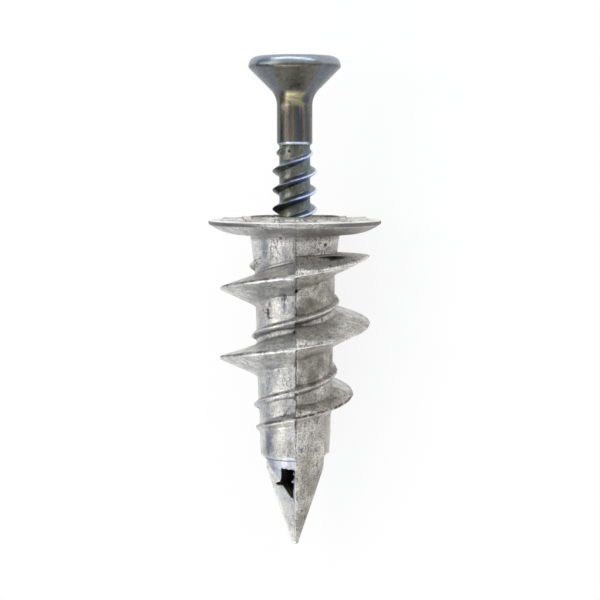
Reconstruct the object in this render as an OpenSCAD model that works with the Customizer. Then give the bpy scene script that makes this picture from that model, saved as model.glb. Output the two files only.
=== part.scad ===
// Self-drilling plasterboard anchor: one zinc die casting, with its countersunk steel screw
// driven part of the way into it. Every piece is drawn upright about the Z axis, with the top
// face of the flange at height 0 and depths counted downward from it. The assembly is then laid
// down as it comes to rest, on the flange's rim and on the last full turn of the blade thread.

/* [Flange] */
// Radius of the flange
flange_r = 8.5; // [8:0.1:10]
// Thickness of the flange at its rim
rim_t = 0.4; // [0.3:0.05:0.7]
// Depth of the flange where its underside meets the neck
flange_t = 1.5; // [1.3:0.1:2.5]
// Fullness of the flange's curved underside, where 1 is a straight cone
belly_power = 2.7; // [1.5:0.1:4]
// Bevel of the rim's upper edge
rim_bevel = 0.1; // [0.05:0.01:0.15]
// Number of grip ribs on the top face
rib_count = 12; // [8:1:16]
// Length of a grip rib, along the radius
rib_l = 2.2; // [1:0.1:2.6]
// Width of a grip rib
rib_w = 0.55; // [0.4:0.05:0.8]
// Height of a grip rib above the top face
rib_h = 0.22; // [0.1:0.02:0.4]
// Gap between the outer ends of the ribs and the rim
rib_edge = 1.1; // [0.6:0.1:1.4]

/* [Core] */
// Length of the casting, from the top of the flange to the tip
anchor_l = 32.4; // [31:0.1:40]
// Radius of the neck under the flange
neck_r = 4.35; // [4.2:0.05:4.8]
// Fillet between the neck and the flange
neck_fillet = 0.25; // [0.1:0.05:0.5]
// Depth at which the neck has run out into the core
neck_l = 5; // [4:0.1:6]
// Radius of the core at the end of the neck
core_top_r = 3.92; // [3.8:0.02:4.1]
// Radius of the core at its lower end
core_end_r = 3.45; // [3.4:0.05:3.7]
// Depth of the core's lower end, where the tip begins
core_l = 23.2; // [22.5:0.1:24]

/* [Blade thread] */
// Advance of the blade in one turn
blade_lead = 6.87; // [6:0.01:7.5]
// Radius over the blade's crest
blade_r = 7.41; // [6.5:0.01:8]
// Width of the flat land along the crest
blade_land = 0.3; // [0.2:0.05:0.5]
// Slope of the blade's upper flank
blade_upper_deg = 17; // [12:1:22]
// Slope of the blade's lower flank
blade_lower_deg = 24; // [16:1:26]
// Radius of the fillet between blade and core
blade_fillet = 0.35; // [0.2:0.05:0.7]
// Depth of the crest where it first crosses the front
blade_front = 5.06; // [4.8:0.01:5.6]
// Depth at which the blade's upper end is cut off square
blade_top_l = 3.4; // [3:0.05:3.6]
// Depth at which the crest begins to taper towards the tip
blade_full_l = 14; // [11:0.1:15]
// Angle between the tapering crest and the axis
blade_taper_deg = 28.5; // [25:0.5:40]
// How far the tapering crest bows towards the tip
blade_bow = 0.28; // [0:0.02:0.4]
// Height of the low ridge above the blade's crest, along the axis
ridge_rise = 2.25; // [2.1:0.05:3]
// Height of the low ridge above the core
ridge_h = 0.5; // [0.2:0.05:0.8]
// Width of the low ridge at its foot
ridge_w = 0.8; // [0.6:0.05:1.4]
// Turns of the low ridge above the front crossing of the blade's second turn
ridge_turns_up = 0.85; // [0.7:0.01:0.98]
// Turns of the low ridge below that crossing
ridge_turns_down = 1.42; // [1.1:0.01:1.5]
// Turns over which the low ridge rises at its upper end and fades at its lower end
ridge_fade_turns = 0.09; // [0.05:0.01:0.3]

/* [Split tip] */
// Half width of the two spade plates
spade_w = 2.86; // [2.6:0.02:3.2]
// Depth at which the edges of the plates begin to narrow
spade_corner_l = 24.6; // [24:0.1:26]
// Depth at which the side of each plate begins to stand out of the core
spade_top_l = 19.2; // [18.5:0.1:22]
// Radius of the blunt point
tip_r = 0.38; // [0.2:0.02:0.5]
// Distance by which each plate runs past the middle plane
plate_lap = 0.25; // [0.15:0.05:0.4]
// Draft of the step between the two plates, across the core's radius
plate_draft = 0.35; // [0.1:0.05:0.5]
// Radius of the boss at its shoulder, below the core's end
boss_r = 2.9; // [2.7:0.05:3.1]
// Depth of the boss's shoulder
boss_shoulder_l = 24.3; // [24.1:0.1:24.8]
// Depth at which the boss would run out to a point
boss_point_l = 27.8; // [27.5:0.1:29]

/* [Bore] */
// Radius of the bore that the screw taps
bore_r = 1.85; // [1.75:0.01:1.95]
// Depth to which the bore keeps that radius
bore_l = 20.5; // [20:0.1:21.5]
// Radius of the narrow bore below it
lower_bore_r = 1.38; // [1.2:0.02:1.5]
// Depth of the step between the two bores
bore_step = 0.8; // [0.4:0.1:1.2]
// Depth at which the narrow bore begins to close to a point
bore_cone_l = 26; // [25.4:0.1:26.4]
// Depth of the point at the bottom of the bore
bore_point_l = 28.2; // [27.4:0.1:28.8]
// Height of the window, where the bore breaks out of the boss, above the closing bore
window_rise = 1.7; // [0.6:0.1:2]
// Radius of the driving recess in the flange, over its wings
driver_r = 3.1; // [2.8:0.1:3.3]
// Radius of the driving recess at its floor
driver_foot_r = 1.86; // [1.6:0.02:2.4]
// Width of a wing of the driving recess
driver_w = 1.25; // [1:0.05:1.5]
// Depth of the driving recess
driver_l = 3.4; // [2.5:0.1:4]

/* [Screw] */
// Length of the screw
screw_l = 35; // [30:1:36]
// Length of the screw that still stands out of the flange
screw_out = 15.9; // [14:0.1:20]
// Radius of the head
head_r = 4.5; // [4.2:0.05:4.8]
// Height of the head's land and rounded edge above the countersink
head_edge_t = 1.1; // [0.9:0.05:1.3]
// Radius of the rounding of the head's upper edge
head_round = 0.9; // [0.4:0.05:0.9]
// Angle between the countersink and the axis
head_cone_deg = 45; // [40:1:45]
// Radius of the fillet between head and shank
head_fillet = 2.2; // [1.2:0.1:2.4]
// Radius of the plain shank
shank_r = 1.74; // [1.66:0.02:1.8]
// Depth of the shank's lower end below the top of the head
shank_l = 8.45; // [8:0.05:9]
// Radius of the thread's core
thread_core_r = 1.52; // [1.4:0.01:1.6]
// Radius over the thread's crest
thread_r = 2.19; // [2.1:0.01:2.25]
// Distance from crest to crest along the thread
thread_pitch = 1.85; // [1.6:0.01:2]
// Number of threads that run side by side
thread_starts = 2; // [1:1:2]
// Width of the flat on the thread's crest
thread_land = 0.08; // [0.04:0.01:0.15]
// Slope of the thread's flanks
thread_flank_deg = 30; // [25:1:32]
// Depth of the thread's first full crest at the right and the left
thread_start = 11.15; // [10.6:0.05:11.6]
// Length above that crest in which the thread rises out of the core
run_in_l = 2.7; // [2.2:0.05:2.7]
// Length above that crest at which the thread has risen to its full height
run_in_end_l = 0.75; // [0.4:0.05:1.2]
// Length of the point
point_l = 4.6; // [3.5:0.1:6]
// Length of the point that stays bare, below the thread's end
point_bare_l = 0.35; // [0.2:0.05:0.6]
// Radius of the point's blunt end
point_r = 0.12; // [0.08:0.01:0.2]
// Height of the thread above the point where it ends
point_thread_h = 0.25; // [0.1:0.05:0.4]
// Clearance between the screw's thread and the thread it has tapped
thread_gap = 0.05; // [0.03:0.01:0.08]
// Radius of the cross recess at the face of the head
recess_r = 2.45; // [2:0.05:2.8]
// Radius of the cross recess at its floor
recess_foot_r = 0.93; // [0.7:0.01:1.2]
// Width of a wing of the cross recess
recess_w = 0.95; // [0.7:0.05:1.2]
// Depth of the cross recess
recess_l = 2.5; // [1.8:0.1:2.8]

/* [Hidden] */
$fn = 96;

blade_steps = 40;   // stations in one turn of the blade
ridge_steps = 32;   // stations in one turn of the low ridge
thread_steps = 24;  // stations in one turn of the screw's thread
belly_steps = 8;    // stations on the flange's curved underside
arc_deg = 9;        // angle between stations on a rounding of the screw
root_sink = 0.55;   // how deep the root of the blade or the ridge is sunk into the core
thread_sink = 0.15; // how deep the root of the screw's thread is sunk into its core
least_h = 0.15;     // least height of a thread's section, where its crest dips into its core
shoulder = 0.8;     // height of the low ridge at a quarter of its width, against its full height
ridge_sunk = 0.02;  // how far the ends of the low ridge are sunk under the core's surface
settle_deg = 8.5;   // how far the assembly rolls on after both turns of the blade have touched
over = 0.5;         // how far a cut runs past the face that it opens

// Edge of the window, torn where the casting is thinnest. Each point has its distance from the
// middle plane, against the bore's radius, and its depth below the top of the window.
torn_edge = [
    [1, 0],
    [0.75, 0.2],
    [0.4, 0.02],
    [0.1, 0.15],
    [0.02, 0.4],
    [0.2, 0.7],
    [0.08, 1.1],
    [0.26, 1.6],
    [0.18, 2.2]
];

// Radius of the core at a depth below the flange's top
core_line = [
    [0, neck_r],
    [flange_t, neck_r],
    [neck_l, core_top_r],
    [core_l, core_end_r],
    [anchor_l, core_end_r]
];
function core_at(depth) = lookup(depth, core_line);

// Depth of the blade's crest at a number of turns up from its first crossing of the front
function blade_depth(turn) = blade_front - blade_lead * turn;

// Radius of the blade's crest: full to blade_full_l, then a straight taper
blade_end_turn = -(blade_full_l - blade_front
    + (blade_r - core_end_r + root_sink) / tan(blade_taper_deg)) / blade_lead;
function blade_crest(turn) =
    blade_r - max(0, blade_depth(turn) - blade_full_l) * tan(blade_taper_deg);

// How the assembly lies: on the rim of the flange and on the last full turn of the blade. It
// rolls until the turn after that, which tapers, touches too, and a little on from there, to
// where it settles. Where both touch, the rise from crest to rim, over its distance from the
// rim, is the same for both, and the distance that the lowest point has moved along the blade
// is the root of a quadratic.
back_turn = floor((blade_front - blade_full_l) / blade_lead + 0.5) + 0.5;
crest_rise = flange_r - blade_r;
rim_reach = blade_depth(back_turn) + blade_land / 2 - rim_t;
taper_reach = blade_depth(back_turn - 1) - blade_full_l;
reach_sum = rim_reach + taper_reach;
product = crest_rise * blade_lead / tan(blade_taper_deg);
both_l = (sqrt(reach_sum * reach_sum - 4 * (rim_reach * taper_reach - product)) - reach_sum) / 2;
roll_l = both_l + blade_lead * settle_deg / 360;
roll_deg = 360 * roll_l / blade_lead;
lie_deg = atan2(crest_rise, rim_reach + roll_l);
ground = flange_r * cos(lie_deg) + rim_t * sin(lie_deg);
head_end = screw_out * cos(lie_deg) + (head_r - head_round) * sin(lie_deg)
    + head_round * (1 - cos(lie_deg));
tip_end = (anchor_l - tip_r) * cos(lie_deg) + tip_r;

// Lays an upright piece down with its front turned up, all but roll_deg, and the screw's head
// towards +Y, with the origin on the ground under the middle of the whole
module lay_down() {
    translate([0, (tip_end - head_end) / 2, ground])
        rotate([lie_deg - 90, 0, 0])
            rotate([0, 0, roll_deg])
                children();
}

// Sweeps closed sections around the axis. Each section is a list of [radius, height] points,
// and stations gives [angle, height] for each, with the angle counted from the front (-Y)
// towards +X.
module sweep_around(sections, stations) {
    n = len(sections);
    m = len(sections[0]);
    points = [for (i = [0 : n - 1], p = sections[i])
        [p[0] * sin(stations[i][0]), -p[0] * cos(stations[i][0]), stations[i][1] + p[1]]];
    sides = [for (i = [0 : n - 2], j = [0 : m - 1])
        let (a = i * m + j, b = i * m + (j + 1) % m)
        each [[a, b, b + m], [a, b + m, a + m]]];
    start_cap = [for (j = [m - 1 : -1 : 0]) j];
    end_cap = [for (j = [0 : m - 1]) (n - 1) * m + j];
    polyhedron(points, concat(sides, [start_cap, end_cap]));
}

// Section of the blade for a crest radius and the radius of the core under it. Where the
// crest tapers, it also bows towards the tip.
function blade_section(crest, core) =
    let (
        foot = min(core, crest - least_h),
        fillet = min(blade_fillet, (crest - foot) / 2),
        up = tan(blade_upper_deg),
        low = tan(blade_lower_deg),
        taper = min(1, (blade_r - crest) / (blade_r - core)),
        bow = 4 * blade_bow * taper * (1 - taper),
        top = blade_land / 2 - bow,
        bottom = -blade_land / 2 - bow
    ) [
        [foot - root_sink, bottom - (crest - foot) * low - fillet / 2],
        [foot, bottom - (crest - foot) * low - fillet / 2],
        [foot + fillet, bottom - (crest - foot - fillet) * low],
        [crest, bottom],
        [crest, top],
        [foot + fillet, top + (crest - foot - fillet) * up],
        [foot, top + (crest - foot) * up + fillet / 2],
        [foot - root_sink, top + (crest - foot) * up + fillet / 2]
    ];

// The blade's upper end runs on to where it would be lost above blade_top_l, and is cut there
module blade() {
    top_turn = (blade_front - blade_top_l + (blade_r - neck_r) * tan(blade_lower_deg)) / blade_lead
        + 1 / blade_steps;
    count = ceil((top_turn - blade_end_turn) * blade_steps);
    turns = [for (i = [0 : count]) blade_end_turn + (top_turn - blade_end_turn) * i / count];
    intersection() {
        sweep_around(
            [for (turn = turns) blade_section(blade_crest(turn), core_at(blade_depth(turn)))],
            [for (turn = turns) [360 * turn, -blade_depth(turn)]]
        );
        translate([0, 0, -anchor_l])
            cylinder(r = blade_r + over, h = anchor_l - blade_top_l);
    }
}

// Section of the low ridge for its height at that station
function ridge_section(core, height) = [
    [core - root_sink, -ridge_w / 2],
    [core, -ridge_w / 2],
    [core + height * shoulder, -ridge_w / 4],
    [core + height, 0],
    [core + height * shoulder, ridge_w / 4],
    [core, ridge_w / 2],
    [core - root_sink, ridge_w / 2]
];

// Height of the ridge at a number of turns, with its rise and its fade
function ridge_height(turn) =
    let (to_end = min(ridge_turns_up - turn, turn + ridge_turns_down))
    ridge_h * min(1, to_end / ridge_fade_turns) - ridge_sunk;

module ridge() {
    span = ridge_turns_up + ridge_turns_down;
    count = ceil(span * ridge_steps);
    turns = [for (i = [0 : count]) -ridge_turns_down + span * i / count];
    depths = [for (turn = turns) blade_depth(turn - 1) - ridge_rise];
    sweep_around(
        [for (i = [0 : count]) ridge_section(core_at(depths[i]), ridge_height(turns[i]))],
        [for (i = [0 : count]) [360 * turns[i], -depths[i]]]
    );
}

// The flange and the core, one turned form
module core() {
    belly_in_r = neck_r + neck_fillet;
    rotate_extrude()
        polygon(concat(
            [
                [0, 0],
                [flange_r - rim_bevel, 0],
                [flange_r, -rim_bevel]
            ],
            [for (u = [belly_steps : -1 : 0])
                [
                    belly_in_r + (flange_r - belly_in_r) * u / belly_steps,
                    -flange_t + (flange_t - rim_t) * pow(u / belly_steps, belly_power)
                ]],
            [
                [neck_r, -flange_t - neck_fillet],
                [core_top_r, -neck_l],
                [core_end_r, -core_l],
                [boss_r, -boss_shoulder_l],
                [0, -boss_point_l]
            ]
        ));
}

module grip_ribs() {
    for (i = [0 : rib_count - 1])
        rotate([0, 0, 360 * (i + 0.5) / rib_count])
            translate([flange_r - rib_edge - rib_l, -rib_w / 2, -rim_t / 2])
                cube([rib_l, rib_w, rim_t / 2 + rib_h]);
}

// Outline of the plate on the right of the front, seen from above: it reaches past the middle
// plane by plate_lap, and its inner side leans by plate_draft
module plate_outline(width) {
    polygon([
        [0, -core_end_r - over],
        [width, -core_end_r - over],
        [width, plate_lap],
        [-plate_draft, plate_lap]
    ]);
}

// Two plates, one in front on the right and one behind on the left, ground to one point
module spade() {
    slope = (spade_w - tip_r) / (anchor_l - tip_r - spade_corner_l);
    intersection() {
        rotate_extrude()
            polygon(concat(
                [
                    [0, -core_l + over],
                    [core_end_r, -core_l + over],
                    [core_end_r, -spade_corner_l + (core_end_r - spade_w) / slope]
                ],
                [for (a = [0 : 3 * arc_deg : 90])
                    [tip_r * cos(a), -anchor_l + tip_r - tip_r * sin(a)]],
                [[0, -anchor_l]]
            ));
        for (turn = [0, 180])
            rotate([0, 0, turn])
                translate([0, 0, -anchor_l - over])
                    linear_extrude(anchor_l + over - core_l + over)
                        plate_outline(spade_w);
    }
}

// What is cut from the core's side so that each plate stands out with an edge of its own
module side_cuts() {
    for (turn = [0, 180])
        rotate([0, 0, turn])
            translate([spade_w, -core_end_r - 2 * over, -boss_point_l])
                cube([2 * over + core_end_r - spade_w, core_end_r + 2 * over, boss_point_l - spade_top_l]);
}

// The window through which the bore opens in front of the left plate, as far back as the face
// of that plate, with a torn upper edge
module window() {
    top = bore_cone_l - window_rise;
    for (turn = [0, 180])
        rotate([0, 0, turn])
            translate([0, -plate_lap, 0])
                rotate([90, 0, 0])
                    linear_extrude(core_end_r + over)
                        polygon(concat(
                            [for (p = torn_edge) [-p[0] * lower_bore_r, -top - p[1]]],
                            [
                                [-torn_edge[len(torn_edge) - 1][0] * lower_bore_r, -boss_point_l],
                                [-lower_bore_r, -boss_point_l]
                            ]
                        ));
}

// The bore, with the cross recess that a driver turns the anchor by
module bore() {
    rotate_extrude()
        polygon([
            [0, over],
            [bore_r + over, over],
            [bore_r, 0],
            [bore_r, -bore_l],
            [lower_bore_r, -bore_l - bore_step],
            [lower_bore_r, -bore_cone_l],
            [0, -bore_point_l]
        ]);
    intersection() {
        translate([0, 0, -driver_l])
            cylinder(r1 = driver_foot_r, r2 = driver_r, h = driver_l + over);
        for (turn = [0, 90])
            rotate([0, 0, turn])
                translate([-driver_r - over, -driver_w / 2, -driver_l])
                    cube([2 * (driver_r + over), driver_w, driver_l + over]);
    }
}

// Section of the screw's thread, grown by a gap for the thread that it taps
function thread_section(crest, core, gap) =
    let (
        half = thread_land / 2 + gap,
        foot = min(core, crest - least_h) - thread_sink
    ) [
        [foot, -half - (crest - foot) * tan(thread_flank_deg)],
        [crest + gap, -half],
        [crest + gap, half],
        [foot, half + (crest - foot) * tan(thread_flank_deg)]
    ];

// Radius of the screw's core and of its crest at a depth below the top of the head
point_core = [
    [0, thread_core_r],
    [screw_l - point_l, thread_core_r],
    [screw_l, point_r]
];
thread_end_l = screw_l - point_bare_l;
point_crest = [
    [thread_start - run_in_l, thread_core_r - thread_gap],
    [thread_start - run_in_end_l, thread_r],
    [screw_l - point_l, thread_r],
    [thread_end_l, lookup(thread_end_l, point_core) + point_thread_h]
];

module screw_thread(gap, first, last) {
    lead = thread_pitch * thread_starts;
    count = ceil((last - first) / lead * thread_steps);
    depths = [for (i = [0 : count]) last - (last - first) * i / count];
    for (start = [0 : thread_starts - 1])
        sweep_around(
            [for (d = depths) thread_section(lookup(d, point_crest), lookup(d, point_core), gap)],
            [for (d = depths)
                [90 + ((thread_start - d) / lead + start / thread_starts) * 360, screw_out - d]]
        );
}

module anchor_body() {
    color([0.66, 0.65, 0.63])
        lay_down()
            difference() {
                union() {
                    core();
                    spade();
                    grip_ribs();
                    blade();
                    ridge();
                }
                side_cuts();
                window();
                bore();
                screw_thread(thread_gap, screw_out - thread_pitch, thread_end_l);
            }
}

module screw() {
    cone_end_r = shank_r + head_fillet * (1 - cos(head_cone_deg));
    cone_l = (head_r - cone_end_r) / tan(head_cone_deg);
    fillet_z = -head_edge_t - cone_l - head_fillet * sin(head_cone_deg);
    color([0.30, 0.32, 0.34])
        lay_down() {
            difference() {
                translate([0, 0, screw_out])
                    rotate_extrude()
                        polygon(concat(
                            [[0, 0]],
                            [for (a = [90 : -2 * arc_deg : 0])
                                [
                                    head_r - head_round + head_round * cos(a),
                                    -head_round + head_round * sin(a)
                                ]],
                            [[head_r, -head_edge_t]],
                            [for (a = [head_cone_deg : -arc_deg : 0])
                                [shank_r + head_fillet * (1 - cos(a)), fillet_z + head_fillet * sin(a)]],
                            [
                                [shank_r, -shank_l],
                                [thread_core_r, -shank_l - (shank_r - thread_core_r)],
                                [thread_core_r, -screw_l + point_l],
                                [point_r, -screw_l],
                                [0, -screw_l]
                            ]
                        ));
                translate([0, 0, screw_out])
                    intersection() {
                        translate([0, 0, -recess_l])
                            cylinder(r1 = recess_foot_r, r2 = recess_r, h = recess_l + over);
                        for (turn = [0, 90])
                            rotate([0, 0, turn])
                                translate([-recess_r - over, -recess_w / 2, -recess_l])
                                    cube([2 * (recess_r + over), recess_w, recess_l + over]);
                    }
            }
            screw_thread(0, thread_start - run_in_l, thread_end_l);
        }
}

anchor_body();
screw();
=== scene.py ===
import math

import bmesh
import bpy
import numpy as np
from mathutils import Matrix, Vector


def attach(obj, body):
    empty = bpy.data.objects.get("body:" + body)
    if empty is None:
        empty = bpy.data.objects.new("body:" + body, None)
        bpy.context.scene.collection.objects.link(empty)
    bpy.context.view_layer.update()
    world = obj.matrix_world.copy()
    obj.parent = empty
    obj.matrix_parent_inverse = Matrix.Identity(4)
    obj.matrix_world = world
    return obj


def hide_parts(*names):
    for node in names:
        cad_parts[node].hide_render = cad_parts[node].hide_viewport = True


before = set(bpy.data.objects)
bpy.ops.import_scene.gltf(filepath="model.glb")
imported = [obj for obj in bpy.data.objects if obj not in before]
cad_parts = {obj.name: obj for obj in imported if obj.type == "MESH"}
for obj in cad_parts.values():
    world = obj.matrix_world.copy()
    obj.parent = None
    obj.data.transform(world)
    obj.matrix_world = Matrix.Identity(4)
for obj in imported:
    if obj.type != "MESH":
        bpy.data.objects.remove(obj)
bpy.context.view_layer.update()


# How the anchor lies
# The sizes below are in millimetres, with the anchor upright: Z runs up its axis, 0 is the top
# face of the flange, and the front is -Y. lay_down turns that into the place where it lies, on
# the flange's rim and on the blade, with the screw's head towards +Y.

lie_deg = 7.1703
roll_deg = 21.975
axis_height = 8.48345
flange_from_middle = 7.9588
lay_down = (
    Matrix.Scale(0.001, 4)
    @ Matrix.Translation((0, flange_from_middle, axis_height))
    @ Matrix.Rotation(math.radians(lie_deg - 90), 4, "X")
    @ Matrix.Rotation(math.radians(roll_deg), 4, "Z")
)


# Camera
# It looks at the front from a little above the plane square to the axis, from 162 mm away, as
# the photograph does. The long side of the anchor runs up the picture.

camera_lift = math.radians(4.884)
camera_turn = math.radians(-1.012)
camera_roll = math.radians(-0.074)
camera_distance = 161.79
camera_lens = 98.42
camera_aim = Vector((0.499, 0, -7.925))


def placed(name, data):
    """A new object in the scene."""
    made = bpy.data.objects.new(name, data)
    bpy.context.scene.collection.objects.link(made)
    return made


looking = Vector((
    -math.sin(camera_turn) * math.cos(camera_lift),
    math.cos(camera_turn) * math.cos(camera_lift),
    -math.sin(camera_lift),
))
view_right = Vector((math.cos(camera_turn), math.sin(camera_turn), 0))
view_up = view_right.cross(looking)
upright_view = Matrix((view_right, view_up, -looking)).transposed().to_4x4()
upright_view.translation = camera_aim - looking * camera_distance
upright_view = upright_view @ Matrix.Rotation(camera_roll, 4, "Z")
laid_view = lay_down @ upright_view
camera = placed("camera", bpy.data.cameras.new("camera"))
camera.data.lens = camera_lens
camera.data.sensor_width = 36
camera.data.clip_start = 0.005
camera.data.clip_end = 20
camera.matrix_world = (
    Matrix.Translation(laid_view.translation) @ laid_view.to_quaternion().to_matrix().to_4x4()
)
bpy.context.scene.camera = camera


# Floor, backdrop and lamps
# A white table under the anchor. What the camera and the metal see of it is nearly white by
# itself, and the rest of its light is the lamps' on plain white paint, which keeps the shadow.

bpy.context.scene.view_settings.view_transform = "Standard"


def material(name):
    """A new material with its nodes emptied, and its node tree."""
    made = bpy.data.materials.new(name)
    made.use_nodes = True
    made.node_tree.nodes.clear()
    return made, made.node_tree


def node(tree, kind, links=(), **values):
    """A node with its own settings and socket values; links gives its inputs' sources."""
    made = tree.nodes.new(kind)
    for name, value in values.items():
        if hasattr(made, name):
            setattr(made, name, value)
        else:
            made.inputs[name.replace("_", " ")].default_value = value
    for name, source in dict(links).items():
        tree.links.new(source, made.inputs[name])
    return made


def feed(sockets, sources):
    """Gives each socket its source: a number, a colour or another node's output."""
    for socket, source in zip(sockets, sources):
        if isinstance(source, (int, float)):
            socket.default_value = source
        elif isinstance(source, tuple):
            socket.default_value = (*source, 1)
        else:
            socket.id_data.links.new(source, socket)


def beside(sources, kind, **values):
    """A node in the same tree as those of its sources that are sockets."""
    tree = next(source.id_data for source in sources if isinstance(source, bpy.types.NodeSocket))
    return node(tree, kind, **values)


def sums(operation, *sources):
    """Math on one or two values, each a socket or a number."""
    made = beside(sources, "ShaderNodeMath", operation=operation)
    feed(made.inputs, sources)
    return made.outputs[0]


def tint(share, under, over, blend="MIX"):
    """Colour over laid on colour under, by a share."""
    sources = (share, under, over)
    made = beside(sources, "ShaderNodeMix", data_type="RGBA", blend_type=blend)
    feed((made.inputs[0], made.inputs[6], made.inputs[7]), sources)
    return made.outputs[2]


def ramp(source, low, high, bottom=0.0, top=1.0):
    """The source's values between low and high, spread from bottom to top."""
    return node(source.id_data, "ShaderNodeMapRange", {"Value": source},
                From_Min=low, From_Max=high, To_Min=bottom, To_Max=top).outputs[0]


def stops(source, colours):
    """A colour for each value of the source, between stops of a place and a colour."""
    made = node(source.id_data, "ShaderNodeValToRGB", {"Fac": source})
    while len(made.color_ramp.elements) < len(colours):
        made.color_ramp.elements.new(0.5)
    for stop, (spot, colour) in zip(made.color_ramp.elements, colours):
        stop.position = spot
        stop.color = (*colour, 1)
    return made.outputs["Color"]


paint_glow = 0.86
white_paint, tree = material("white_table")
ray = node(tree, "ShaderNodeLightPath").outputs
seen = sums("MAXIMUM", ray["Is Camera Ray"], ray["Is Glossy Ray"])
seen = sums("MAXIMUM", seen, ray["Is Transmission Ray"])
paint = node(tree, "ShaderNodeBsdfDiffuse", Color=(0.92, 0.92, 0.92, 1))
glow = node(tree, "ShaderNodeEmission", Color=(1, 1, 1, 1), Strength=1.0)
table = node(tree, "ShaderNodeMixShader",
             {0: sums("MULTIPLY", seen, paint_glow), 1: paint.outputs[0], 2: glow.outputs[0]})
node(tree, "ShaderNodeOutputMaterial", {"Surface": table.outputs[0]})

floor_half = 2.0
floor_mesh = bpy.data.meshes.new("table_top")
floor_corners = [(x * floor_half, y * floor_half, 0) for x, y in ((-1, -1), (1, -1), (1, 1), (-1, 1))]
floor_mesh.from_pydata(floor_corners, [], [(0, 1, 2, 3)])
floor_mesh.materials.append(white_paint)
floor = placed("table_top", floor_mesh)

# the studio that the metal mirrors: bright and dark strips round the anchor's axis, in degrees from
# the camera's side with the left of the picture negative, and along it, from the tip at 0
studio_round = [
    (-112, (0.15, 0.17, 0.21)),
    (-74, (0.15, 0.17, 0.22)),
    (-64, (0.90, 0.87, 0.80)),
    (-50, (0.90, 0.87, 0.80)),
    (-40, (0.42, 0.43, 0.44)),
    (0, (0.38, 0.39, 0.40)),
    (45, (0.36, 0.36, 0.36)),
    (68, (0.30, 0.29, 0.27)),
]
studio_along = [
    (0.00, (0.95, 0.86, 0.64)),
    (0.05, (0.70, 0.68, 0.62)),
    (0.12, (0.90, 0.90, 0.90)),
    (0.24, (0.95, 0.95, 0.95)),
    (0.36, (0.55, 0.56, 0.58)),
    (0.50, (0.62, 0.62, 0.62)),
    (0.70, (0.62, 0.63, 0.66)),
    (0.92, (0.72, 0.74, 0.76)),
]
studio_light = 2.6
world = bpy.data.worlds.new("studio")
bpy.context.scene.world = world
world.use_nodes = True
tree = world.node_tree
tree.nodes.clear()
direction = node(tree, "ShaderNodeTexCoord").outputs["Generated"]
rolled_back = node(tree, "ShaderNodeVectorRotate", {"Vector": direction},
                   rotation_type="Y_AXIS", Angle=-math.radians(roll_deg)).outputs[0]
seen_to = node(tree, "ShaderNodeSeparateXYZ", {"Vector": rolled_back}).outputs
round_axis = ramp(sums("ARCTAN2", seen_to["X"], seen_to["Z"]), -math.pi, math.pi)
studio = tint(
    1,
    stops(round_axis, [(degrees / 360 + 0.5, colour) for degrees, colour in studio_round]),
    stops(ramp(seen_to["Y"], -1, 1), studio_along),
    blend="MULTIPLY",
)
sky = node(tree, "ShaderNodeBackground", {"Color": studio}, Strength=studio_light)
white = node(tree, "ShaderNodeBackground", Color=(1, 1, 1, 1), Strength=1.0)
camera_ray = node(tree, "ShaderNodeLightPath").outputs["Is Camera Ray"]
backdrop = node(tree, "ShaderNodeMixShader", {0: camera_ray, 1: sky.outputs[0], 2: white.outputs[0]})
node(tree, "ShaderNodeOutputWorld", {"Surface": backdrop.outputs[0]})

# the lamps hang about the view of the anchor's front, which has rolled with it
lamp_roll = Matrix.Rotation(math.radians(8.5), 3, "Y")
lamp_aim = Vector((0, 0, 0.008))


def lamp(name, spot, width, length, power, colour):
    """A soft box that hangs at spot, in metres, and faces the anchor's middle."""
    data = bpy.data.lights.new(name, "AREA")
    data.shape = "RECTANGLE"
    data.size, data.size_y = width, length
    data.energy = power
    data.color = colour
    made = placed(name, data)
    made.location = lamp_roll @ Vector(spot)
    made.rotation_euler = (lamp_aim - made.location).to_track_quat("-Z", "Y").to_euler()


lamp("left_box", (-0.40, 0.04, 0.30), 0.10, 0.50, 0.5, (1, 0.96, 0.88))
lamp("right_box", (0.44, 0.04, 0.20), 0.12, 0.50, 0.12, (1, 0.95, 0.86))
lamp("head_box", (0.02, 0.44, 0.20), 0.80, 0.14, 1.5, (0.90, 0.95, 1))
lamp("tip_box", (-0.06, -0.44, 0.20), 0.40, 0.12, 0.4, (0.95, 0.97, 1))


# The anchor: one zinc casting
# Flange, neck, core, blade thread, low ridge and split spade tip come out of one die in one
# piece, so they are one skin with soft corners. Its form is a field, negative inside the
# metal, and the skin is laid where the field is 0.

# flange and grip ribs; names in _r are radii, in _l depths or lengths along the axis, in _round and
# _fillet how far an outer edge or an inner corner is rounded, and in _slope the cosine of a lean
flange_r = 8.5
rim_t = 0.4
flange_t = 1.5
belly_power = 2.7
belly_slope = 0.85
flange_round = 0.12
flange_fillet = 0.16
rib_count = 12
rib_l = 2.2
rib_w = 0.55
rib_h = 0.22
rib_edge = 1.1
rib_sunk = 0.3
rib_fillet = 0.1

# core, from the neck to the boss's point
anchor_l = 32.39
neck_r = 4.35
neck_l = 5
core_top_r = 3.92
core_end_r = 3.45
core_l = 23.2
core_slope = 0.95
core_side_w = 1.7
core_side_fade = 0.6
boss_slope = 0.81
boss_r = 2.9
boss_shoulder_l = 24.3
boss_point_l = 27.8

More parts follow.
